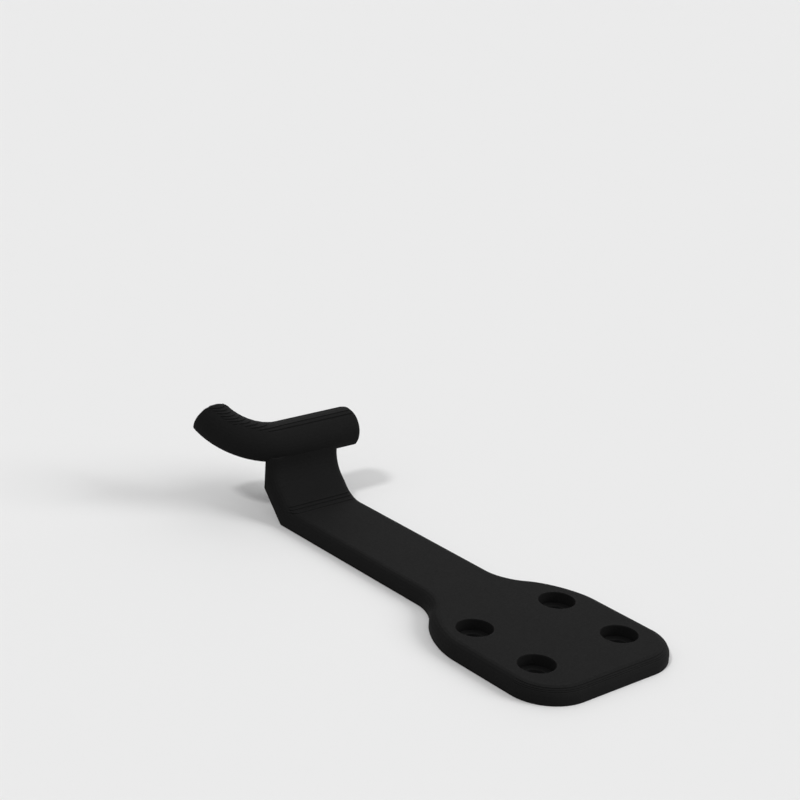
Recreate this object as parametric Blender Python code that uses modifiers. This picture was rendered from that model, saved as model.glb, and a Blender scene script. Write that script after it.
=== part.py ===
"""Cable bracket for a heated bed, printed in one piece.

A screwed-down plate narrows to a long arm. The arm turns up into a short riser, and the riser
carries a half-round rod with a tilted quarter bend, which the cable is tied to.

Metres, +Z up. The origin is on the underside, below the middle of the four screw holes, and +X
runs along the arm to the rod.
"""

import math

import bmesh
import bpy
from mathutils import Matrix, Vector

MM = 0.001

# Plate and arm, seen from above
PLATE_WIDTH = 30.0 * MM
ARM_WIDTH = 15.0 * MM
PLATE_THICKNESS = 2.6 * MM
FRONT_REACH = 15.65 * MM
FRONT_CORNER_RADIUS = 7.5 * MM
SHOULDER_START = 4.25 * MM
SHOULDER_RADIUS = 15.1 * MM
NECK_RADIUS = 7.65 * MM
EDGE_ROUND = 1.55 * MM

# Screw holes, each with a recess for the screw's head
HOLE_SPACING_X = 13.5 * MM
HOLE_SPACING_Y = 17.3 * MM
SCREW_HOLE_DIAMETER = 3.6 * MM
HEAD_RECESS_DIAMETER = 5.9 * MM
HEAD_RECESS_DEPTH = 1.9 * MM

# Riser, seen from the side
RISER_BACK = 62.1 * MM
RISER_WALL = 1.65 * MM
OUTER_CHAMFER = 5.0 * MM
INNER_CHAMFER = 4.75 * MM
INNER_BLEND_RADIUS = 4.8 * MM

# Rod: round above, flat below
ROD_RADIUS = 3.7 * MM
ROD_FLAT_DEPTH = 2.1 * MM
ROD_HEIGHT = 11.85 * MM
ROD_LAP = 0.25 * MM
ROD_FREE_END = 11.9 * MM
RISER_TOP_DEPTH = 1.1 * MM
BEND_START = 3.2 * MM
BEND_RADIUS = 8.95 * MM
BEND_ANGLE = math.radians(90)
BEND_TILT = math.radians(23)
ROD_END_ROUND = 0.85 * MM

# Fineness of the curves
PLAN_ARC_STEP = math.radians(6)
BLEND_ARC_STEP = math.radians(7.5)
ROD_ARC_STEP = math.radians(7.5)
BEND_STEP = math.radians(5)
EDGE_ROUND_SEGMENTS = 6
ROD_END_SEGMENTS = 4
HOLE_SIDES = 48

# How far a cutting or trimming shape runs past what it cuts
OVERRUN = 5.0 * MM
SHARP_ANGLE = math.radians(30)

PLASTIC_COLOUR = (0.028, 0.028, 0.028, 1.0)
PLASTIC_ROUGHNESS = 0.55


def clear_scene():
    """Removes every object of the scene that the script starts in."""
    for old in list(bpy.data.objects):
        bpy.data.objects.remove(old, do_unlink=True)


def new_collection(name, hidden=False):
    """Makes a collection under the scene, left out of renders if it holds only cutters."""
    collection = bpy.data.collections.new(name)
    collection.hide_render = hidden
    bpy.context.scene.collection.children.link(collection)
    return collection


def plastic():
    """The dark matt plastic of the whole print."""
    material = bpy.data.materials.new("dark_grey_plastic")
    material.use_nodes = True
    shader = material.node_tree.nodes["Principled BSDF"]
    shader.inputs["Base Color"].default_value = PLASTIC_COLOUR
    shader.inputs["Roughness"].default_value = PLASTIC_ROUGHNESS
    shader.inputs["Metallic"].default_value = 0.0
    return material


def arc(centre, radius, start, end, step):
    """Points of an arc from one angle to another, both ends included."""
    count = max(2, math.ceil(abs(end - start) / step - 1e-6))
    points = []
    for i in range(count + 1):
        angle = start + (end - start) * i / count
        points.append((centre[0] + radius * math.cos(angle), centre[1] + radius * math.sin(angle)))
    return points


def plan_outline():
    """The outline from above, closed past the riser, whose back the side profile gives."""
    half_plate = PLATE_WIDTH / 2
    half_arm = ARM_WIDTH / 2
    corner = (-FRONT_REACH + FRONT_CORNER_RADIUS, half_plate - FRONT_CORNER_RADIUS)
    drop = half_plate - half_arm
    turn = math.acos(1 - drop / (SHOULDER_RADIUS + NECK_RADIUS))
    shoulder = (SHOULDER_START, half_plate - SHOULDER_RADIUS)
    neck_x = SHOULDER_START + (SHOULDER_RADIUS + NECK_RADIUS) * math.sin(turn)
    neck = (neck_x, half_arm + NECK_RADIUS)
    quarter = math.pi / 2
    side = arc(corner, FRONT_CORNER_RADIUS, 2 * quarter, quarter, PLAN_ARC_STEP)
    side += arc(shoulder, SHOULDER_RADIUS, quarter, quarter - turn, PLAN_ARC_STEP)
    side += arc(neck, NECK_RADIUS, -quarter - turn, -quarter, PLAN_ARC_STEP)[1:]
    side.append((RISER_BACK + OVERRUN, half_arm))
    return side + [(x, -y) for x, y in reversed(side)]


def riser_face():
    """Where the riser's inner face stands along the arm."""
    return RISER_BACK - RISER_WALL


def riser_top():
    """The height at which the riser ends, inside the rod."""
    return ROD_HEIGHT - RISER_TOP_DEPTH


def side_profile():
    """The section along the arm: plate, arm and riser, with the blends inside the bend."""
    face = riser_face()
    eighth = math.pi / 4
    setback = INNER_BLEND_RADIUS * math.tan(eighth / 2)
    low = (face - INNER_CHAMFER - setback, PLATE_THICKNESS + INNER_BLEND_RADIUS)
    high = (face - INNER_BLEND_RADIUS, PLATE_THICKNESS + INNER_CHAMFER + setback)
    start = -FRONT_REACH - OVERRUN
    outside = [
        (start, 0.0),
        (RISER_BACK - OUTER_CHAMFER, 0.0),
        (RISER_BACK, OUTER_CHAMFER),
        (RISER_BACK, riser_top()),
        (face, riser_top()),
    ]
    inside = arc(high, INNER_BLEND_RADIUS, 0.0, -eighth, BLEND_ARC_STEP)
    inside += arc(low, INNER_BLEND_RADIUS, -eighth, -2 * eighth, BLEND_ARC_STEP)
    return outside + inside + [(start, PLATE_THICKNESS)]


def settle(thing):
    """Gives an object the mesh that its curve or modifiers make, and welds the caps."""
    bpy.context.view_layer.update()
    graph = bpy.context.evaluated_depsgraph_get()
    mesh = bpy.data.meshes.new_from_object(thing.evaluated_get(graph))
    shape = bmesh.new()
    shape.from_mesh(mesh)
    bmesh.ops.remove_doubles(shape, verts=shape.verts, dist=1e-7)
    bmesh.ops.recalc_face_normals(shape, faces=shape.faces)
    shape.to_mesh(mesh)
    shape.free()
    name = thing.name
    place = thing.matrix_world.copy()
    collection = thing.users_collection[0]
    bpy.data.objects.remove(thing, do_unlink=True)
    solid = bpy.data.objects.new(name, mesh)
    mesh.transform(place)
    collection.objects.link(solid)
    return solid


def extruded_outline(name, points, thickness, place, collection):
    """A flat outline drawn as a 2D curve, given its thickness, as a mesh."""
    curve = bpy.data.curves.new(name, "CURVE")
    curve.dimensions = "2D"
    curve.fill_mode = "BOTH"
    curve.extrude = thickness / 2
    spline = curve.splines.new("POLY")
    spline.points.add(len(points) - 1)
    for point, (x, y) in zip(spline.points, points):
        point.co = (x, y, 0.0, 1.0)
    spline.use_cyclic_u = True
    outline = bpy.data.objects.new(name, curve)
    outline.matrix_world = place
    collection.objects.link(outline)
    return settle(outline)


def join(target, other, operation):
    """Adds a Boolean modifier that cuts, trims or joins with another object."""
    modifier = target.modifiers.new(f"{operation.lower()} {other.name}", "BOOLEAN")
    modifier.operation = operation
    modifier.solver = "EXACT"
    modifier.object = other
    other.display_type = "WIRE"
    other.hide_render = True


def is_upper_skin(face):
    """Whether a face belongs to the top of the plate and arm or the riser's inner side."""
    centre = face.calc_center_median()
    across = abs(face.normal.y) > 0.01
    top_end = centre.z > riser_top() - EDGE_ROUND / 100
    upward = face.normal.z > 0.01
    inward = face.normal.x < -0.5 and centre.x > SHOULDER_START
    return not across and not top_end and (upward or inward)


def round_upper_edges(body):
    """Rounds the edge all along the upper skin. The underside's edges stay sharp."""
    shape = bmesh.new()
    shape.from_mesh(body.data)
    weight = shape.edges.layers.float.new("bevel_weight_edge")
    for edge in shape.edges:
        skins = [face for face in edge.link_faces if is_upper_skin(face)]
        walls = [face for face in edge.link_faces if face not in skins and abs(face.normal.z) < 0.01]
        edge[weight] = 1.0 if len(skins) == 1 and len(walls) == 1 else 0.0
    shape.to_mesh(body.data)
    shape.free()
    bevel = body.modifiers.new("upper edge round", "BEVEL")
    bevel.limit_method = "WEIGHT"
    bevel.offset_type = "OFFSET"
    bevel.width = min(EDGE_ROUND, 0.95 * RISER_WALL)
    bevel.segments = EDGE_ROUND_SEGMENTS
    bevel.use_clamp_overlap = False


def plate_arm_and_riser(parts, cutters):
    """The bent strip that the rod stands on: side profile trimmed to the plan outline."""
    upright = Matrix.Rotation(math.radians(90), 4, "X")
    width = PLATE_WIDTH + 2 * OVERRUN
    body = extruded_outline("cable_bracket", side_profile(), width, upright, parts)
    height = riser_top() + 2 * OVERRUN
    middle = Matrix.Translation((0.0, 0.0, height / 2 - OVERRUN))
    join(body, extruded_outline("plan_trim", plan_outline(), height, middle, cutters), "INTERSECT")
    body = settle(body)
    round_upper_edges(body)
    return settle(body)


def cylinder(name, diameter, low, high, at, collection):
    """A round cutter between two heights."""
    shape = bmesh.new()
    middle = Matrix.Translation((at[0], at[1], (low + high) / 2))
    bmesh.ops.create_cone(
        shape,
        cap_ends=True,
        segments=HOLE_SIDES,
        radius1=diameter / 2,
        radius2=diameter / 2,
        depth=high - low,
        matrix=middle,
    )
    mesh = bpy.data.meshes.new(name)
    shape.to_mesh(mesh)
    shape.free()
    cutter = bpy.data.objects.new(name, mesh)
    collection.objects.link(cutter)
    return cutter


def cut_screw_holes(body, cutters):
    """Four through holes, each with a recess that takes the screw's head."""
    floor = PLATE_THICKNESS - HEAD_RECESS_DEPTH
    above = PLATE_THICKNESS + OVERRUN
    for end, x in (("front", -HOLE_SPACING_X / 2), ("rear", HOLE_SPACING_X / 2)):
        for side, y in (("right", -HOLE_SPACING_Y / 2), ("left", HOLE_SPACING_Y / 2)):
            at = (x, y)
            hole = cylinder(f"{end}_{side}_hole", SCREW_HOLE_DIAMETER, -OVERRUN, above, at, cutters)
            join(body, hole, "DIFFERENCE")
            recess = cylinder(f"{end}_{side}_recess", HEAD_RECESS_DIAMETER, floor, above, at, cutters)
            join(body, recess, "DIFFERENCE")


def rod_section(shape, at):
    """The rod's section as one face across Y: an arc over the top, closed by the flat."""
    reach = math.asin(ROD_FLAT_DEPTH / ROD_RADIUS)
    points = arc((at.x, at.z), ROD_RADIUS, -reach, math.pi + reach, ROD_ARC_STEP)
    return shape.faces.new([shape.verts.new((x, at.y, z)) for x, z in points])


def mark_rim(shape, cap, weight):
    """Marks the round part of an end's rim, and leaves the edge along the flat sharp."""
    longest = max(cap.edges, key=lambda edge: edge.calc_length())
    for edge in cap.edges:
        edge[weight] = 0.0 if edge == longest else 1.0


def bent_rod(parts):
    """The rod: a straight run across the arm, then a quarter bend that leans up and away."""
    start = Vector((riser_face() + ROD_RADIUS - ROD_LAP, -ROD_FREE_END, ROD_HEIGHT))
    shape = bmesh.new()
    weight = shape.edges.layers.float.new("bevel_weight_edge")
    first_cap = rod_section(shape, start)
    run = bmesh.ops.extrude_face_region(shape, geom=[first_cap], use_keep_orig=True)["geom"]
    moved = [item for item in run if isinstance(item, bmesh.types.BMVert)]
    bmesh.ops.translate(shape, verts=moved, vec=(0.0, ROD_FREE_END + BEND_START, 0.0))
    joint_face = next(item for item in run if isinstance(item, bmesh.types.BMFace))
    outward = Vector((math.cos(BEND_TILT), 0.0, math.sin(BEND_TILT)))
    along = Vector((0.0, 1.0, 0.0))
    centre = Vector((start.x, BEND_START, start.z)) + outward * BEND_RADIUS
    swept = bmesh.ops.spin(
        shape,
        geom=[joint_face] + list(joint_face.edges) + list(joint_face.verts),
        cent=centre,
        axis=along.cross(outward),
        angle=BEND_ANGLE,
        steps=max(3, math.ceil(BEND_ANGLE / BEND_STEP)),
        use_merge=False,
    )["geom_last"]
    last_cap = next(item for item in swept if isinstance(item, bmesh.types.BMFace))
    bmesh.ops.recalc_face_normals(shape, faces=shape.faces)
    mark_rim(shape, first_cap, weight)
    mark_rim(shape, last_cap, weight)
    mesh = bpy.data.meshes.new("rod")
    shape.to_mesh(mesh)
    shape.free()
    rod = bpy.data.objects.new("rod", mesh)
    parts.objects.link(rod)
    bevel = rod.modifiers.new("end round", "BEVEL")
    bevel.limit_method = "WEIGHT"
    bevel.offset_type = "OFFSET"
    bevel.width = min(ROD_END_ROUND, ROD_RADIUS / 2)
    bevel.segments = ROD_END_SEGMENTS
    bevel.use_clamp_overlap = False
    return settle(rod)


def smooth(solid):
    """Shades the round faces smooth and keeps the real edges crisp."""
    solid.data.shade_smooth()
    solid.data.set_sharp_from_angle(angle=SHARP_ANGLE)


def main():
    """Builds the bracket as one solid."""
    clear_scene()
    parts = new_collection("heated_bed_cable_bracket")
    cutters = new_collection("cutters", hidden=True)
    body = plate_arm_and_riser(parts, cutters)
    cut_screw_holes(body, cutters)
    rod = bent_rod(cutters)
    join(body, rod, "UNION")
    bracket = settle(body)
    bracket.data.materials.clear()
    bracket.data.materials.append(plastic())
    smooth(bracket)


main()
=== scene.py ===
"""Dresses a heated bed cable bracket: one dark, matt, printed plastic piece on a pale floor.

The bracket is modelled again at its real size as one mesh, with broken edges and the stairs of
a print's layers. It has a procedural plastic, and stands in a plain studio in front of a camera
at the reference view.
Metres, +Z up, +X along the arm towards the rod. Sizes in the classes are in millimetres, and
angles in radians unless a docstring says degrees.
"""

import logging
import math
from collections.abc import Callable, Iterator
from contextlib import contextmanager
from dataclasses import dataclass, field
from enum import Enum

import bmesh
import bpy
from mathutils import Matrix, Vector


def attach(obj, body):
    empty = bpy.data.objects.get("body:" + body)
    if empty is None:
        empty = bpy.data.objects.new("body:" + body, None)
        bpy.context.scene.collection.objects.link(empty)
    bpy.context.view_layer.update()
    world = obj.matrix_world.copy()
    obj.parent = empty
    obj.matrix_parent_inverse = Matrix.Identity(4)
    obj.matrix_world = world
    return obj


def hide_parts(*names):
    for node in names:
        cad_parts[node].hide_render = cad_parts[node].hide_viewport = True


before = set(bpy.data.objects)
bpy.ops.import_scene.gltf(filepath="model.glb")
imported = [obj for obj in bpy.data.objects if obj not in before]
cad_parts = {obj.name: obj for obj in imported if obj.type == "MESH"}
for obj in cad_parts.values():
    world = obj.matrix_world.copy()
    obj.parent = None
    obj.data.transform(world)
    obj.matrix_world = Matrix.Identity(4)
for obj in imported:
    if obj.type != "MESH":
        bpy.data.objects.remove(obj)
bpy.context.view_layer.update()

LOG = logging.getLogger("cable_bracket")
MM = 0.001

# How close two places lie to count as one: in general, on the stairs' cuts, and to a cut while
# it is made.
NEAR = 0.01 * MM
NEAR_CUT = 0.001 * MM
CUT_THRESHOLD = 0.0001 * MM

# How far a face looks along an axis, from 0 to 1.
HARDLY = 0.01
MOSTLY = 0.5
SQUARELY = 0.9

# The turn at an edge, in radians, below which its two faces are one.
STRAIGHT = 0.001

# The colour sockets of a Mix node, which share their names with its other sockets.
MIX_LOW, MIX_HIGH, MIX_RESULT = 6, 7, 2

NODE = "cable_bracket"
BODY = "root"
LAYER_HEIGHT = 0.3029
RISER_MARK = "riser"

Colour = tuple[float, float, float, float]


class HoleEnd(Enum):
    """Which end of the plate a screw hole is at, as a share of the spacing along the arm."""

    FRONT = -0.5
    REAR = 0.5


class HoleSide(Enum):
    """Which side of the plate a screw hole is on, as a share of the spacing across the arm."""

    RIGHT = -0.5
    LEFT = 0.5


def deselect_all() -> None:
    """Leaves object mode with nothing selected."""
    if bpy.context.object is not None and bpy.context.object.mode != "OBJECT":
        bpy.ops.object.mode_set(mode="OBJECT")
    bpy.ops.object.select_all(action="DESELECT")


def take(piece: bpy.types.Object) -> None:
    """Makes a piece the only selected one, and the active one.

    Args:
        piece: The object to take.
    """
    deselect_all()
    piece.select_set(True)
    bpy.context.view_layer.objects.active = piece


@contextmanager
def editing(piece: bpy.types.Object) -> Iterator[None]:
    """Opens a piece in edit mode with nothing selected.

    Args:
        piece: The mesh object to edit.
    """
    take(piece)
    bpy.ops.object.mode_set(mode="EDIT")
    bpy.ops.mesh.select_all(action="DESELECT")
    yield
    bpy.ops.object.mode_set(mode="OBJECT")


def pick(piece: bpy.types.Object, kind: str, wanted: Callable[..., bool]) -> int:
    """Selects the points, edges or faces of the piece in edit mode that pass a test.

    Args:
        piece: The mesh object in edit mode.
        kind: VERT, EDGE or FACE.
        wanted: Says whether a point, edge or face is selected.

    Returns:
        How many were selected.
    """
    bpy.ops.mesh.select_mode(type=kind)
    bpy.ops.mesh.select_all(action="DESELECT")
    mesh = bmesh.from_edit_mesh(piece.data)
    mesh.normal_update()
    items = {"VERT": mesh.verts, "EDGE": mesh.edges, "FACE": mesh.faces}[kind]
    found = [item for item in items if wanted(item)]
    for item in found:
        item.select_set(True)
    bmesh.update_edit_mesh(piece.data)
    return len(found)


def stands_at(point: bmesh.types.BMVert, x: float, z: float) -> bool:
    """Whether a point has that place along X and Z, given in millimetres."""
    return abs(point.co.x - x * MM) < NEAR and abs(point.co.z - z * MM) < NEAR


def is_upright(edge: bmesh.types.BMEdge) -> bool:
    """Whether an edge runs along Z."""
    run = edge.verts[1].co - edge.verts[0].co
    return Vector((run.x, run.y)).length < NEAR


def bevel_picked(width: float, segments: int) -> None:
    """Rounds the selected edges.

    Args:
        width: How far the round reaches along each face from the edge, in millimetres.
        segments: How many faces the round has.
    """
    bpy.ops.mesh.bevel(
        offset_type="OFFSET",
        offset=width * MM,
        segments=segments,
        profile=0.5,
        affect="EDGES",
        clamp_overlap=False,
    )


def merge_close() -> None:
    """Merges points that lie in the same place, in edit mode."""
    bpy.ops.mesh.select_mode(type="VERT")
    bpy.ops.mesh.select_all(action="SELECT")
    bpy.ops.mesh.remove_doubles(threshold=NEAR)


def apply_boolean(target: bpy.types.Object, other: bpy.types.Object, operation: str) -> None:
    """Cuts or joins with another object, which is then removed.

    Args:
        target: The object that changes.
        other: The cutter, or the piece that is joined on.
        operation: DIFFERENCE or UNION.
    """
    take(target)
    modifier = target.modifiers.new(operation.lower(), "BOOLEAN")
    modifier.operation = operation
    modifier.solver = "EXACT"
    modifier.object = other
    bpy.ops.object.modifier_apply(modifier=modifier.name)
    bpy.data.objects.remove(other, do_unlink=True)


def direction(azimuth: float, elevation: float) -> Vector:
    """The way to a place.

    Args:
        azimuth: The angle from +X towards +Y, in degrees.
        elevation: The angle above the floor, in degrees.

    Returns:
        A unit vector towards it.
    """
    turn, lift = math.radians(azimuth), math.radians(elevation)
    flat = math.cos(lift)
    return Vector((flat * math.cos(turn), flat * math.sin(turn), math.sin(lift)))


def tangent_length(radius: float, turn: float) -> float:
    """How far before a corner the arc of that radius starts, where the outline turns so far."""
    return radius * math.tan(turn / 2)


@dataclass
class Strip:
    """The bent strip: a plate with screw holes, the arm, and the riser at its end."""

    plate_width: float = 30.0
    arm_width: float = 15.0
    thickness: float = 2.6
    front_reach: float = 15.65
    corner_radius: float = 7.5
    shoulder_start: float = 4.25
    shoulder_radius: float = 15.1
    neck_radius: float = 7.65
    edge_round: float = 1.55
    riser_back: float = 62.1
    riser_wall: float = 1.65
    riser_top: float = 10.75
    outer_chamfer: float = 5.0
    inner_chamfer: float = 4.75
    blend_radius: float = 4.8
    blend_turn: float = math.radians(45)
    hole_spacing_x: float = 13.5
    hole_spacing_y: float = 17.3
    hole_diameter: float = 3.6
    recess_diameter: float = 5.9
    recess_depth: float = 1.9
    broken_edge: float = 0.08
    broken_segments: int = 2
    corner_segments: int = 16
    shoulder_segments: int = 12
    blend_segments: int = 5
    edge_segments: int = 5
    hole_sides: int = 64
    overrun: float = 2.0

    @property
    def riser_face(self) -> float:
        """Where the riser's inner face stands along the arm, in millimetres."""
        return self.riser_back - self.riser_wall

    @property
    def shoulder_turn(self) -> float:
        """The angle of each of the shoulder's two arcs, which meet with no straight between."""
        drop = (self.plate_width - self.arm_width) / 2
        return math.acos(1 - drop / (self.shoulder_radius + self.neck_radius))

    @property
    def shoulder_corner(self) -> float:
        """Where the plate's side would turn in if it weren't rounded, in millimetres."""
        return self.shoulder_start + tangent_length(self.shoulder_radius, self.shoulder_turn)

    @property
    def neck_corner(self) -> float:
        """Where the slope would meet the arm's side if it weren't rounded, in millimetres."""
        slope = tangent_length(self.shoulder_radius + self.neck_radius, self.shoulder_turn)
        return self.shoulder_corner + slope * math.cos(self.shoulder_turn)

    @property
    def inner_bend(self) -> tuple[tuple[float, float], tuple[float, float]]:
        """The foot and head of the slope inside the riser's bend, along X and Z in millimetres."""
        foot = (self.riser_face - self.inner_chamfer, self.thickness)
        return foot, (self.riser_face, self.thickness + self.inner_chamfer)

    def build(self) -> bpy.types.Object:
        """Models the strip.

        Returns:
            The strip with its rounds and screw holes.
        """
        piece = self.blank()
        self.round_outline(piece)
        self.round_upper_edge(piece)
        self.break_lower_edges(piece)
        for end in HoleEnd:
            for side in HoleSide:
                self.drill(piece, end, side)
        self.break_hole_rims(piece)
        return piece

    def blank(self) -> bpy.types.Object:
        """Extrudes the strip from a box, with plain corners.

        Returns:
            The strip before anything is rounded.
        """
        length = self.shoulder_corner + self.front_reach
        middle = (self.shoulder_corner - self.front_reach) / 2
        deselect_all()
        centre = (middle * MM, 0, self.thickness / 2 * MM)
        bpy.ops.mesh.primitive_cube_add(size=1.0, location=centre)
        piece = bpy.context.object
        piece.name = "bracket"
        piece.scale = (length * MM, self.plate_width * MM, self.thickness * MM)
        bpy.ops.object.transform_apply(location=True, rotation=True, scale=True)
        with editing(piece):
            pick(piece, "FACE", lambda face: face.normal.x > MOSTLY)
            slope = (self.neck_corner - self.shoulder_corner) * MM
            bpy.ops.mesh.extrude_region_move(TRANSFORM_OT_translate={"value": (slope, 0, 0)})
            bpy.ops.transform.resize(
                value=(1.0, self.arm_width / self.plate_width, 1.0),
                center_override=(self.neck_corner * MM, 0, 0),
            )
            foot, head = self.inner_bend
            self.extrude_end(piece, (self.riser_back - self.outer_chamfer, 0.0), foot)
            self.extrude_end(piece, (self.riser_back, self.outer_chamfer), head)
            top = self.riser_top
            self.extrude_end(piece, (self.riser_back, top), (self.riser_face, top))
            pick(piece, "EDGE", lambda edge: edge.is_manifold and edge.calc_face_angle() < STRAIGHT)
            bpy.ops.mesh.dissolve_edges(use_verts=False)
        return piece

    def extrude_end(
        self, piece: bpy.types.Object, outer: tuple[float, float], inner: tuple[float, float]
    ) -> None:
        """Extrudes the selected end face, then puts its two edges across the arm in place.

        Args:
            piece: The strip in edit mode, with its end face selected.
            outer: Where the edge on the underside goes, along X and Z in millimetres.
            inner: Where the edge on the upper side goes, along X and Z in millimetres.
        """
        points = bmesh.from_edit_mesh(piece.data).verts
        corners = [point.co / MM for point in points if point.select]
        low = min(corners, key=lambda corner: corner.z - corner.x)
        high = max(corners, key=lambda corner: corner.z - corner.x)
        step = Vector((outer[0] - low.x, 0.0, outer[1] - low.z))
        high += step
        bpy.ops.mesh.extrude_region_move(TRANSFORM_OT_translate={"value": step * MM})
        pick(piece, "VERT", lambda point: stands_at(point, high.x, high.z))
        bpy.ops.transform.translate(value=((inner[0] - high.x) * MM, 0, (inner[1] - high.z) * MM))
        ends = (outer, inner)
        pick(
            piece,
            "FACE",
            lambda face: all(any(stands_at(point, *end) for end in ends) for point in face.verts),
        )

    def round_outline(self, piece: bpy.types.Object) -> None:
        """Rounds the plate's corners, the shoulders, and the inside of the riser's bend.

        Args:
            piece: The blank strip.
        """
        shoulder_width = tangent_length(self.shoulder_radius, self.shoulder_turn)
        neck_width = tangent_length(self.neck_radius, self.shoulder_turn)
        corners = (
            (-self.front_reach, self.corner_radius, self.corner_segments),
            (self.shoulder_corner, shoulder_width, self.shoulder_segments),
            (self.neck_corner, neck_width, self.shoulder_segments),
        )
        with editing(piece):
            for place, width, segments in corners:
                pick(
                    piece,
                    "EDGE",
                    lambda edge: is_upright(edge) and abs(edge.verts[0].co.x - place * MM) < NEAR,
                )
                bevel_picked(width, segments)
            pick(
                piece,
                "EDGE",
                lambda edge: any(
                    all(stands_at(point, *place) for point in edge.verts)
                    for place in self.inner_bend
                ),
            )
            bevel_picked(tangent_length(self.blend_radius, self.blend_turn), self.blend_segments)
            merge_close()

    def is_skin(self, face: bmesh.types.BMFace) -> bool:
        """Tells the faces of the plate's and arm's upper side and of the riser's inner side.

        Args:
            face: A face of the strip.

        Returns:
            Whether the face is on one of those sides.
        """
        centre = face.calc_center_median()
        across = abs(face.normal.y) > HARDLY
        end = centre.z > (self.riser_top - self.broken_edge) * MM
        inward = face.normal.x < -MOSTLY and centre.x > self.shoulder_corner * MM
        return not across and not end and (face.normal.z > HARDLY or inward)

    def is_wall(self, face: bmesh.types.BMFace) -> bool:
        """Whether a face stands upright round the outline, apart from the riser's back."""
        back = face.normal.x > MOSTLY and face.calc_center_median().x > self.neck_corner * MM
        return abs(face.normal.z) < HARDLY and not self.is_skin(face) and not back

    def round_upper_edge(self, piece: bpy.types.Object) -> None:
        """Rounds the edge all along the upper side, and up the riser.

        Args:
            piece: The strip with its outline rounded.
        """
        with editing(piece):
            pick(
                piece,
                "EDGE",
                lambda edge: sum(map(self.is_skin, edge.link_faces)) == 1
                and sum(map(self.is_wall, edge.link_faces)) == 1,
            )
            bevel_picked(self.edge_round, self.edge_segments)

    def break_lower_edges(self, piece: bpy.types.Object) -> None:
        """Breaks the sharp edges of the underside and of the riser's back.

        Args:
            piece: The strip with its upper edge rounded.
        """

        def is_lower(edge: bmesh.types.BMEdge) -> bool:
            """Tells the edges round the underside and the riser's back.

            Args:
                edge: An edge of the strip.

            Returns:
                Whether it lies between a wall and one of those two sides.
            """
            faces = edge.link_faces
            outer = any(face.normal.z < -MOSTLY or face.normal.x > SQUARELY for face in faces)
            return outer and sum(map(self.is_wall, faces)) == 1

        with editing(piece):
            pick(piece, "EDGE", is_lower)
            bevel_picked(self.broken_edge, self.broken_segments)

    def hole_centre(self, end: HoleEnd, side: HoleSide) -> Vector:
        """Finds the middle of a screw hole on the plate's upper side.

        Args:
            end: Which end of the plate the hole is at.
            side: Which side of the plate the hole is on.

        Returns:
            Its place in metres.
        """
        x = end.value * self.hole_spacing_x
        y = side.value * self.hole_spacing_y
        return Vector((x, y, self.thickness)) * MM

    def drill(self, piece: bpy.types.Object, end: HoleEnd, side: HoleSide) -> None:
        """Cuts a screw hole and the recess for the screw's head.

        Args:
            piece: The strip.
            end: Which end of the plate the hole is at.
            side: Which side of the plate the hole is on.
        """
        mouth = self.hole_centre(end, side)
        cuts = (
            (self.hole_diameter, -self.thickness - self.overrun, self.overrun),
            (self.recess_diameter, -self.recess_depth, self.overrun),
        )
        for diameter, low, high in cuts:
            deselect_all()
            bpy.ops.mesh.primitive_cylinder_add(
                vertices=self.hole_sides,
                radius=diameter / 2 * MM,
                depth=(high - low) * MM,
                location=mouth + Vector((0, 0, (low + high) / 2 * MM)),
            )
            apply_boolean(piece, bpy.context.object, "DIFFERENCE")

    def break_hole_rims(self, piece: bpy.types.Object) -> None:
        """Breaks the rims of the recesses and of the holes in them.

        Args:
            piece: The drilled strip.
        """
        centres = [self.hole_centre(end, side) for end in HoleEnd for side in HoleSide]
        rims = (
            (self.recess_diameter / 2, self.thickness),
            (self.hole_diameter / 2, self.thickness - self.recess_depth),
            (self.hole_diameter / 2, 0.0),
        )

        def on_rim(edge: bmesh.types.BMEdge) -> bool:
            """Tells the rims' edges.

            Args:
                edge: An edge of the strip.

            Returns:
                Whether both its ends lie on one of the rims.
            """
            for radius, height in rims:
                for centre in centres:
                    arms = [point.co - centre for point in edge.verts]
                    level = all(abs(point.co.z - height * MM) < NEAR for point in edge.verts)
                    if level and all(abs(arm.xy.length - radius * MM) < NEAR for arm in arms):
                        return True
            return False

        with editing(piece):
            pick(piece, "EDGE", on_rim)
            bevel_picked(self.broken_edge, self.broken_segments)


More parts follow.
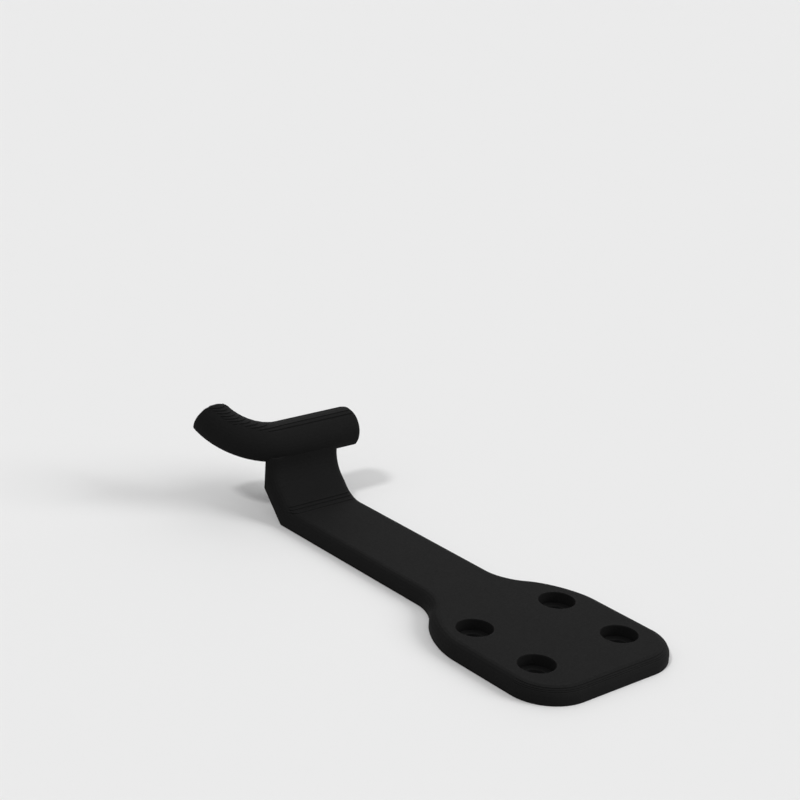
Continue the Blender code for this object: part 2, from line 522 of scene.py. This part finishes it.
@dataclass
class Rod:
    """The half-round rod: a straight run across the arm and a quarter bend that leans up."""

    radius: float = 3.7
    flat_depth: float = 2.1
    height: float = 11.85
    lap: float = 0.25
    free_end: float = 11.9
    bend_start: float = 3.2
    bend_radius: float = 8.95
    bend_turn: float = math.radians(90)
    bend_tilt: float = math.radians(23)
    end_round: float = 0.85
    sides: int = 40
    bend_steps: int = 15
    end_segments: int = 4

    def build(self, riser_face: float) -> bpy.types.Object:
        """Models the rod in front of the riser.

        Args:
            riser_face: Where the riser's inner face stands along the arm, in millimetres.

        Returns:
            The rod as a closed solid.
        """
        axis_x = riser_face + self.radius - self.lap
        deselect_all()
        bpy.ops.mesh.primitive_circle_add(
            vertices=self.sides,
            radius=self.radius * MM,
            fill_type="NGON",
            location=(axis_x * MM, -self.free_end * MM, self.height * MM),
            rotation=(math.radians(90), 0, 0),
        )
        piece = bpy.context.object
        piece.name = "rod"
        bpy.ops.object.transform_apply(location=True, rotation=True, scale=True)
        outward = Vector((math.cos(self.bend_tilt), 0.0, math.sin(self.bend_tilt)))
        start = Vector((axis_x, self.bend_start, self.height))
        centre = (start + outward * self.bend_radius) * MM
        with editing(piece):
            bpy.ops.mesh.select_all(action="SELECT")
            flat = (axis_x * MM, 0, (self.height - self.flat_depth) * MM)
            bpy.ops.mesh.bisect(plane_co=flat, plane_no=(0, 0, 1), clear_inner=True)
            bpy.ops.mesh.select_mode(type="FACE")
            bpy.ops.mesh.select_all(action="SELECT")
            run = (self.free_end + self.bend_start) * MM
            bpy.ops.mesh.extrude_region_move(TRANSFORM_OT_translate={"value": (0, run, 0)})
            bpy.ops.mesh.spin(
                steps=self.bend_steps,
                angle=self.bend_turn,
                center=centre,
                axis=outward.cross(Vector((0, 1, 0))),
            )
            merge_close()
            bpy.ops.mesh.normals_make_consistent(inside=False)
            self.round_ends(piece)
        return piece

    def round_ends(self, piece: bpy.types.Object) -> None:
        """Rounds the round part of both ends' rims, and leaves the rim along the flat sharp.

        Args:
            piece: The rod in edit mode, with a cap at each end.
        """
        mesh = bmesh.from_edit_mesh(piece.data)
        mesh.edges.index_update()
        rims = set()
        for cap in sorted(mesh.faces, key=lambda face: len(face.verts))[-2:]:
            flat = max(cap.edges, key=lambda edge: edge.calc_length())
            rims |= {edge.index for edge in cap.edges if edge != flat}
        pick(piece, "EDGE", lambda edge: edge.index in rims)
        bevel_picked(self.end_round, self.end_segments)


@dataclass(frozen=True)
class PrintStairs:
    """The stairs that a print's layers form where its surface slopes.

    A stair's riser is the band between two cuts, cut_gap apart. Then the lower cut goes down by
    the shift and the upper one up by it, and the treads between the risers lean back to meet
    them. Stairs stand from the lowest to the highest level, no further along the arm than
    front_end, on faces that slope more than flattest and less than steepest. Points move only
    where every face round them looks up by more than least_lean, from 0 to 1, and isn't level.
    """

    layer_height: float
    lowest: float
    shift: float
    steepest: float
    highest: float = math.inf
    front_end: float = math.inf
    cut_gap: float = 0.04
    flattest: float = math.radians(3)
    least_lean: float = 0.3

    def is_sloping(self, face: bmesh.types.BMFace) -> bool:
        """Whether a face looks up, without being level or too steep for stairs."""
        return math.cos(self.steepest) < face.normal.z < math.cos(self.flattest)

    def is_cut(self, face: bmesh.types.BMFace) -> bool:
        """Whether a face looks up, without being level."""
        return self.least_lean < face.normal.z < math.cos(self.flattest)

    def is_crossed(self, face: bmesh.types.BMFace, height: float) -> bool:
        """Tells the faces that a cut goes through.

        Args:
            face: A face of the bracket.
            height: Where the cut goes, in metres.

        Returns:
            Whether it goes through the face, and the face slopes as stairs need.
        """
        heights = [point.co.z for point in face.verts]
        beyond = max(point.co.x for point in face.verts) > self.front_end * MM
        return min(heights) < height < max(heights) and self.is_sloping(face) and not beyond

    def is_riser(self, face: bmesh.types.BMFace, level: float) -> bool:
        """Tells the risers.

        Args:
            face: A face of the bracket with its stairs.
            level: Where a stair stands, in millimetres.

        Returns:
            Whether the face is that stair's riser.
        """
        heights = [point.co.z for point in face.verts]
        foot = (level - self.shift) * MM
        lip = (level + self.cut_gap + self.shift) * MM
        return abs(min(heights) - foot) < NEAR and abs(max(heights) - lip) < NEAR

    def cut(self, piece: bpy.types.Object) -> None:
        """Cuts the slopes into stairs.

        Args:
            piece: The whole bracket.
        """
        top = min(self.highest, max(corner[2] for corner in piece.bound_box) / MM)
        count = int((top - self.lowest) / self.layer_height)
        levels = [self.lowest + step * self.layer_height for step in range(count)]
        with editing(piece):
            for level in levels:
                self.cut_line(piece, level * MM)
                self.cut_line(piece, (level + self.cut_gap) * MM)
            for level in levels:
                self.shift_line(piece, level, -self.shift)
                self.shift_line(piece, level + self.cut_gap, self.shift)
            self.mark_risers(piece, levels)

    def cut_line(self, piece: bpy.types.Object, height: float) -> None:
        """Cuts the sloping faces at a height.

        Args:
            piece: The bracket in edit mode.
            height: Where the cut goes, in metres.
        """
        if pick(piece, "FACE", lambda face: self.is_crossed(face, height)):
            bpy.ops.mesh.bisect(
                plane_co=(0, 0, height), plane_no=(0, 0, 1), threshold=CUT_THRESHOLD
            )

    def shift_line(self, piece: bpy.types.Object, height: float, rise: float) -> None:
        """Raises or lowers the points that lie on a cut.

        Args:
            piece: The bracket in edit mode.
            height: Where the cut lies, in millimetres.
            rise: How far up its points go, in millimetres.
        """
        pick(
            piece,
            "VERT",
            lambda point: abs(point.co.z - height * MM) < NEAR_CUT
            and all(map(self.is_cut, point.link_faces)),
        )
        bpy.ops.transform.translate(value=(0, 0, rise * MM))

    def mark_risers(self, piece: bpy.types.Object, levels: list[float]) -> None:
        """Marks the stairs' risers, for the finish to paint shade on them.

        Args:
            piece: The bracket in edit mode.
            levels: Where the stairs stand, in millimetres.
        """
        mesh = bmesh.from_edit_mesh(piece.data)
        marks = mesh.faces.layers.float
        mark = marks.get(RISER_MARK) or marks.new(RISER_MARK)
        for face in mesh.faces:
            if any(self.is_riser(face, level) for level in levels):
                face[mark] = 1.0
        bmesh.update_edit_mesh(piece.data)


def new_group(
    name: str, inputs: dict[str, float], outputs: tuple[str, ...]
) -> tuple[bpy.types.ShaderNodeTree, bpy.types.Node, bpy.types.Node]:
    """Starts a shader node group.

    Args:
        name: The group's name.
        inputs: The named numbers that it takes, with their defaults.
        outputs: The names of the numbers that it puts out.

    Returns:
        The group, its input node and its output node.
    """
    group = bpy.data.node_groups.new(name, "ShaderNodeTree")
    group.interface.new_socket("Vector", in_out="INPUT", socket_type="NodeSocketVector")
    for label, value in inputs.items():
        socket = group.interface.new_socket(label, in_out="INPUT", socket_type="NodeSocketFloat")
        socket.default_value = value
    for label in outputs:
        group.interface.new_socket(label, in_out="OUTPUT", socket_type="NodeSocketFloat")
    return group, group.nodes.new("NodeGroupInput"), group.nodes.new("NodeGroupOutput")


def feed(tree: bpy.types.NodeTree, socket: bpy.types.NodeSocket, value: object) -> None:
    """Gives an input its value.

    Args:
        tree: The tree that the input is in.
        socket: The input.
        value: A fixed value, or the socket that the value comes from.
    """
    if isinstance(value, bpy.types.NodeSocket):
        tree.links.new(value, socket)
    else:
        socket.default_value = value


def math_node(group: bpy.types.NodeTree, operation: str, *values: object) -> bpy.types.NodeSocket:
    """Adds a Math node.

    Args:
        group: The tree that it goes into.
        operation: What it works out.
        values: A socket or a number for each of its inputs, in order.

    Returns:
        Its output socket.
    """
    node = group.nodes.new("ShaderNodeMath")
    node.operation = operation
    for socket, value in zip(node.inputs, values):
        feed(group, socket, value)
    return node.outputs["Value"]


def noise_node(
    group: bpy.types.ShaderNodeTree, start: bpy.types.Node, size: str, detail: float
) -> bpy.types.Node:
    """Adds a noise pattern that follows the group's coordinates.

    Args:
        group: The group that it goes into.
        start: The group's input node.
        size: The name of the input that gives the pattern's size, in millimetres.
        detail: How many finer patterns lie over it.

    Returns:
        The noise node.
    """
    noise = group.nodes.new("ShaderNodeTexNoise")
    noise.inputs["Detail"].default_value = detail
    group.links.new(start.outputs["Vector"], noise.inputs["Vector"])
    scale = math_node(group, "DIVIDE", 1 / MM, start.outputs[size])
    group.links.new(scale, noise.inputs["Scale"])
    return noise


def grain_group() -> bpy.types.ShaderNodeTree:
    """The fine pitting of matt plastic, with larger cloudy patches under it.

    Returns:
        A group that puts out Grain and Clouds, both from 0 to 1.
    """
    inputs = {"Grain size": 0.3, "Cloud size": 6.0, "Raggedness": 0.55}
    group, start, end = new_group("plastic_grain", inputs, ("Grain", "Clouds"))
    for label, size, detail in (("Grain", "Grain size", 3.0), ("Clouds", "Cloud size", 2.0)):
        noise = noise_node(group, start, size, detail)
        group.links.new(start.outputs["Raggedness"], noise.inputs["Roughness"])
        group.links.new(noise.outputs["Fac"], end.inputs[label])
    return group


def layer_group() -> bpy.types.ShaderNodeTree:
    """The layers of a print that was built up from its flat side.

    Returns:
        A group that puts out the Height of the layers' rounded edges, from 0 to 1.
    """
    inputs = {"Layer height": 0.3, "First layer": 0.0}
    group, start, end = new_group("print_layers", inputs, ("Height",))
    split = group.nodes.new("ShaderNodeSeparateXYZ")
    group.links.new(start.outputs["Vector"], split.inputs["Vector"])
    level = math_node(group, "DIVIDE", split.outputs["Z"], MM)
    above = math_node(group, "SUBTRACT", level, start.outputs["First layer"])
    count = math_node(group, "DIVIDE", above, start.outputs["Layer height"])
    wave = math_node(group, "SINE", math_node(group, "MULTIPLY", count, math.pi))
    group.links.new(math_node(group, "ABSOLUTE", wave), end.inputs["Height"])
    return group


def wear_group() -> bpy.types.ShaderNodeTree:
    """The faint rubbing along outer edges, broken up by a fine pattern.

    Returns:
        A group that puts out Wear, from 0 on open faces to 1 on rubbed edges.
    """
    inputs = {
        "Reach": 0.35,
        "Sharpness": 6.0,
        "Flat pointiness": 0.5,
        "Patch size": 1.2,
        "Patchiness": 0.5,
    }
    group, start, end = new_group("edge_wear", inputs, ("Wear",))
    bevel = group.nodes.new("ShaderNodeBevel")
    bevel.samples = 4
    reach = math_node(group, "MULTIPLY", start.outputs["Reach"], MM)
    group.links.new(reach, bevel.inputs["Radius"])
    geometry = group.nodes.new("ShaderNodeNewGeometry")
    dot = group.nodes.new("ShaderNodeVectorMath")
    dot.operation = "DOT_PRODUCT"
    group.links.new(bevel.outputs["Normal"], dot.inputs[0])
    group.links.new(geometry.outputs["Normal"], dot.inputs[1])
    turned = math_node(group, "SUBTRACT", 1.0, dot.outputs["Value"])
    edge = math_node(group, "MULTIPLY", turned, start.outputs["Sharpness"])
    pointiness = geometry.outputs["Pointiness"]
    outer = math_node(group, "GREATER_THAN", pointiness, start.outputs["Flat pointiness"])
    noise = noise_node(group, start, "Patch size", 4.0)
    patches = math_node(group, "MULTIPLY", noise.outputs["Fac"], start.outputs["Patchiness"])
    kept = math_node(group, "SUBTRACT", 1.0, patches)
    worn = math_node(group, "MULTIPLY", math_node(group, "MULTIPLY", edge, outer), kept)
    group.links.new(math_node(group, "MINIMUM", worn, 1.0), end.inputs["Wear"])
    return group


@dataclass(frozen=True)
class PrintedPlastic:
    """The bracket's finish: matt near-black plastic with fine grain, layers and edge wear.

    The stairs' risers are painted darker: painted shade for the little light that reaches into the
    corners below them.
    """

    colour: Colour = (0.0048, 0.0048, 0.0048, 1.0)
    light_colour: Colour = (0.0062, 0.0062, 0.0062, 1.0)
    worn_colour: Colour = (0.014, 0.014, 0.014, 1.0)
    # Painted shade: the risers' darker colour stands in for the little light in the corners below
    # them.
    riser_shade_colour: Colour = (0.0022, 0.0022, 0.0022, 1.0)
    grain_low: float = 0.3
    grain_high: float = 0.7
    roughness_low: float = 0.74
    roughness_high: float = 0.86
    specular: float = 0.074
    grain_size: float = 0.3
    grain_depth: float = 0.002
    layer_height: float = LAYER_HEIGHT
    first_layer: float = 0.257
    layer_depth: float = 0.003

    def build(self) -> bpy.types.Material:
        """Makes the material.

        Returns:
            The dark plastic.
        """
        material = bpy.data.materials.new("dark_printed_plastic")
        material.use_nodes = True
        tree = material.node_tree
        shader = tree.nodes["Principled BSDF"]
        shader.inputs["Specular IOR Level"].default_value = self.specular
        place = tree.nodes.new("ShaderNodeTexCoord").outputs["Object"]
        grain = self.placed(tree, grain_group(), place, {"Grain size": self.grain_size})
        sizes = {"Layer height": self.layer_height, "First layer": self.first_layer}
        layers = self.placed(tree, layer_group(), place, sizes)
        wear = self.placed(tree, wear_group(), place, {})
        risers = tree.nodes.new("ShaderNodeAttribute")
        risers.attribute_name = RISER_MARK
        tone = self.mixed(tree, grain.outputs["Clouds"], self.colour, self.light_colour)
        tone = self.mixed(tree, wear.outputs["Wear"], tone, self.worn_colour)
        # Painted shade: the marked risers are darkened in the base colour.
        tone = self.mixed(tree, risers.outputs["Fac"], tone, self.riser_shade_colour)
        tree.links.new(tone, shader.inputs["Base Color"])
        rough = tree.nodes.new("ShaderNodeMapRange")
        rough.inputs["From Min"].default_value = self.grain_low
        rough.inputs["From Max"].default_value = self.grain_high
        rough.inputs["To Min"].default_value = self.roughness_low
        rough.inputs["To Max"].default_value = self.roughness_high
        tree.links.new(grain.outputs["Grain"], rough.inputs["Value"])
        tree.links.new(rough.outputs["Result"], shader.inputs["Roughness"])
        pits = self.bump(tree, grain.outputs["Grain"], self.grain_depth, None)
        ribs = self.bump(tree, layers.outputs["Height"], self.layer_depth, pits)
        tree.links.new(ribs, shader.inputs["Normal"])
        return material

    def placed(
        self,
        tree: bpy.types.NodeTree,
        group: bpy.types.ShaderNodeTree,
        place: bpy.types.NodeSocket,
        values: dict[str, float],
    ) -> bpy.types.Node:
        """Places a group in the material.

        Args:
            tree: The material's nodes.
            group: The group.
            place: The coordinates that its pattern follows.
            values: The values for its named inputs.

        Returns:
            The group's node.
        """
        node = tree.nodes.new("ShaderNodeGroup")
        node.node_tree = group
        tree.links.new(place, node.inputs["Vector"])
        for label, value in values.items():
            node.inputs[label].default_value = value
        return node

    def mixed(
        self, tree: bpy.types.NodeTree, mask: bpy.types.NodeSocket, low: object, high: object
    ) -> bpy.types.NodeSocket:
        """Mixes two colours by a mask.

        Args:
            tree: The material's nodes.
            mask: Where the second colour shows, from 0 to 1.
            low: The first colour, or the socket that gives it.
            high: The second colour.

        Returns:
            The mixed colour's socket.
        """
        node = tree.nodes.new("ShaderNodeMix")
        node.data_type = "RGBA"
        tree.links.new(mask, node.inputs["Factor"])
        feed(tree, node.inputs[MIX_LOW], low)
        feed(tree, node.inputs[MIX_HIGH], high)
        return node.outputs[MIX_RESULT]

    def bump(
        self,
        tree: bpy.types.NodeTree,
        height: bpy.types.NodeSocket,
        depth: float,
        under: bpy.types.NodeSocket | None,
    ) -> bpy.types.NodeSocket:
        """Raises a pattern on the surface.

        Args:
            tree: The material's nodes.
            height: The pattern, from 0 to 1.
            depth: How far it stands up, in millimetres.
            under: The normal that it builds on, where there is one.

        Returns:
            The new normal's socket.
        """
        node = tree.nodes.new("ShaderNodeBump")
        node.inputs["Distance"].default_value = depth * MM
        tree.links.new(height, node.inputs["Height"])
        if under is not None:
            tree.links.new(under, node.inputs["Normal"])
        return node.outputs["Normal"]


@dataclass
class Bracket:
    """The whole bracket, one printed piece."""

    strip: Strip = field(default_factory=Strip)
    rod: Rod = field(default_factory=Rod)
    stairs: PrintStairs = PrintStairs(
        layer_height=LAYER_HEIGHT, lowest=2.68, shift=0.07, steepest=math.radians(36)
    )
    front_stairs: PrintStairs = PrintStairs(
        layer_height=0.2,
        lowest=2.03,
        highest=2.64,
        front_end=-8.1,
        shift=0.03,
        steepest=math.radians(60),
    )
    finish: PrintedPlastic = field(default_factory=PrintedPlastic)
    smooth_angle: float = math.radians(5)

    def build(self) -> bpy.types.Object:
        """Models the bracket, dresses it and puts it in the CAD node's place.

        Returns:
            The finished piece.
        """
        piece = self.strip.build()
        LOG.info("strip: %d faces", len(piece.data.polygons))
        rod = self.rod.build(self.strip.riser_face)
        LOG.info("rod: %d faces", len(rod.data.polygons))
        apply_boolean(piece, rod, "UNION")
        self.stairs.cut(piece)
        self.front_stairs.cut(piece)
        take(piece)
        bpy.ops.object.shade_smooth_by_angle(angle=self.smooth_angle)
        piece.data.materials.clear()
        piece.data.materials.append(self.finish.build())
        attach(piece, BODY)
        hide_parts(NODE)
        return piece


@dataclass(frozen=True)
class FloorFinish:
    """A plain pale floor."""

    colour: Colour = (0.831, 0.831, 0.831, 1.0)

    def build(self) -> bpy.types.Material:
        """Makes the material.

        Returns:
            The pale floor's material.
        """
        material = bpy.data.materials.new("pale_floor")
        material.use_nodes = True
        shader = material.node_tree.nodes["Principled BSDF"]
        shader.inputs["Base Color"].default_value = self.colour
        shader.inputs["Roughness"].default_value = 1.0
        shader.inputs["Specular IOR Level"].default_value = 0.0
        return material


@dataclass(frozen=True)
class Lamp:
    """A far, soft lamp, given by its share of the light that falls on the open floor.

    Its angles are in degrees: the azimuth from +X towards +Y, the elevation above the floor,
    and the width that it fills as seen from the bracket.
    """

    name: str
    azimuth: float
    elevation: float
    width: float
    share: float

    def hang(self) -> bpy.types.Object:
        """Adds the lamp to the scene.

        Returns:
            The lamp, shining at the bracket.
        """
        source = direction(self.azimuth, self.elevation)
        data = bpy.data.lights.new(self.name, "SUN")
        data.energy = self.share * math.pi / source.z
        data.angle = math.radians(self.width)
        lamp = bpy.data.objects.new(self.name, data)
        bpy.context.scene.collection.objects.link(lamp)
        lamp.rotation_mode = "QUATERNION"
        lamp.rotation_quaternion = source.to_track_quat("Z", "Y")
        return lamp


@dataclass
class Studio:
    """The floor, the lamps and the light all round, which together give a plain level of one."""

    floor_size: float = 8000.0
    floor_drop: float = 0.02
    sky_share: float = 0.23
    backdrop: float = 0.831
    lamps: tuple[Lamp, ...] = (
        Lamp("key_lamp", azimuth=101.5, elevation=52.8, width=8.0, share=0.225),
        Lamp("side_lamp", azimuth=221.8, elevation=29.1, width=31.0, share=0.265),
        Lamp("fill_lamp", azimuth=113.6, elevation=48.9, width=66.0, share=0.11),
        Lamp("back_lamp", azimuth=295.0, elevation=41.0, width=76.0, share=0.17),
    )
    floor: FloorFinish = field(default_factory=FloorFinish)

    def build(self) -> list[bpy.types.Object]:
        """Lays the floor, hangs the lamps and lights the sky.

        Returns:
            The floor and the lamps.
        """
        self.light_sky()
        return [self.lay_floor(), *(lamp.hang() for lamp in self.lamps)]

    def lay_floor(self) -> bpy.types.Object:
        """Lays the floor just below the bracket.

        Returns:
            The floor.
        """
        deselect_all()
        below = (0, 0, -self.floor_drop * MM)
        bpy.ops.mesh.primitive_plane_add(size=self.floor_size * MM, location=below)
        plane = bpy.context.object
        plane.name = "floor"
        plane.data.materials.append(self.floor.build())
        return plane

    def light_sky(self) -> None:
        """Lights the sky, which looks as bright as the floor wherever it shows or is mirrored."""
        world = bpy.data.worlds.new("studio")
        world.use_nodes = True
        tree = world.node_tree
        sky = tree.nodes["Background"]
        sky.inputs["Color"].default_value = (1.0, 1.0, 1.0, 1.0)
        path = tree.nodes.new("ShaderNodeLightPath").outputs
        mirrored = math_node(tree, "MAXIMUM", path["Is Glossy Ray"], path["Is Transmission Ray"])
        seen = math_node(tree, "MAXIMUM", path["Is Camera Ray"], mirrored)
        strength = tree.nodes.new("ShaderNodeMapRange")
        strength.inputs["To Min"].default_value = self.sky_share
        strength.inputs["To Max"].default_value = self.backdrop
        tree.links.new(seen, strength.inputs["Value"])
        tree.links.new(strength.outputs["Result"], sky.inputs["Strength"])
        bpy.context.scene.world = world


@dataclass(frozen=True)
class ReferenceCamera:
    """The camera at the reference photograph's view, found by fitting the outline.

    Its angles are in degrees: the azimuth and elevation that it looks from, given as a lamp's
    are, and the roll about its line of sight.
    """

    place: tuple[float, float, float] = (-178.52, 189.82, 132.86)
    azimuth: float = 138.648
    elevation: float = 20.101
    roll: float = 3.991
    focal_pixels: float = 1912.2
    frame_pixels: float = 800.0
    sensor: float = 36.0
    nearest: float = 10.0
    farthest: float = 20000.0

    def build(self) -> bpy.types.Object:
        """Makes the camera the scene's own.

        Returns:
            The camera.
        """
        data = bpy.data.cameras.new("reference_camera")
        data.sensor_width = self.sensor
        data.lens = self.focal_pixels / self.frame_pixels * self.sensor
        data.clip_start = self.nearest * MM
        data.clip_end = self.farthest * MM
        camera = bpy.data.objects.new("reference_camera", data)
        bpy.context.scene.collection.objects.link(camera)
        roll = math.radians(self.roll)
        back = direction(self.azimuth, self.elevation)
        level = Vector((0, 0, 1)).cross(back).normalized()
        above = back.cross(level)
        right = level * math.cos(roll) + above * math.sin(roll)
        up = above * math.cos(roll) - level * math.sin(roll)
        pose = Matrix((right, up, back)).transposed().to_4x4()
        pose.translation = Vector(self.place) * MM
        camera.matrix_world = pose
        bpy.context.scene.camera = camera
        return camera


def main() -> None:
    """Builds the camera, the studio and the bracket, and reports each."""
    logging.basicConfig(level=logging.INFO, format="%(name)s: %(message)s")
    bpy.context.scene.view_settings.view_transform = "Standard"
    camera = ReferenceCamera().build()
    LOG.info("%s: %.1f mm lens", camera.name, camera.data.lens)
    for piece in Studio().build():
        LOG.info("%s: in place", piece.name)
    bracket = Bracket().build()
    LOG.info("%s: %d faces", bracket.name, len(bracket.data.polygons))


if __name__ == "__main__":
    main()
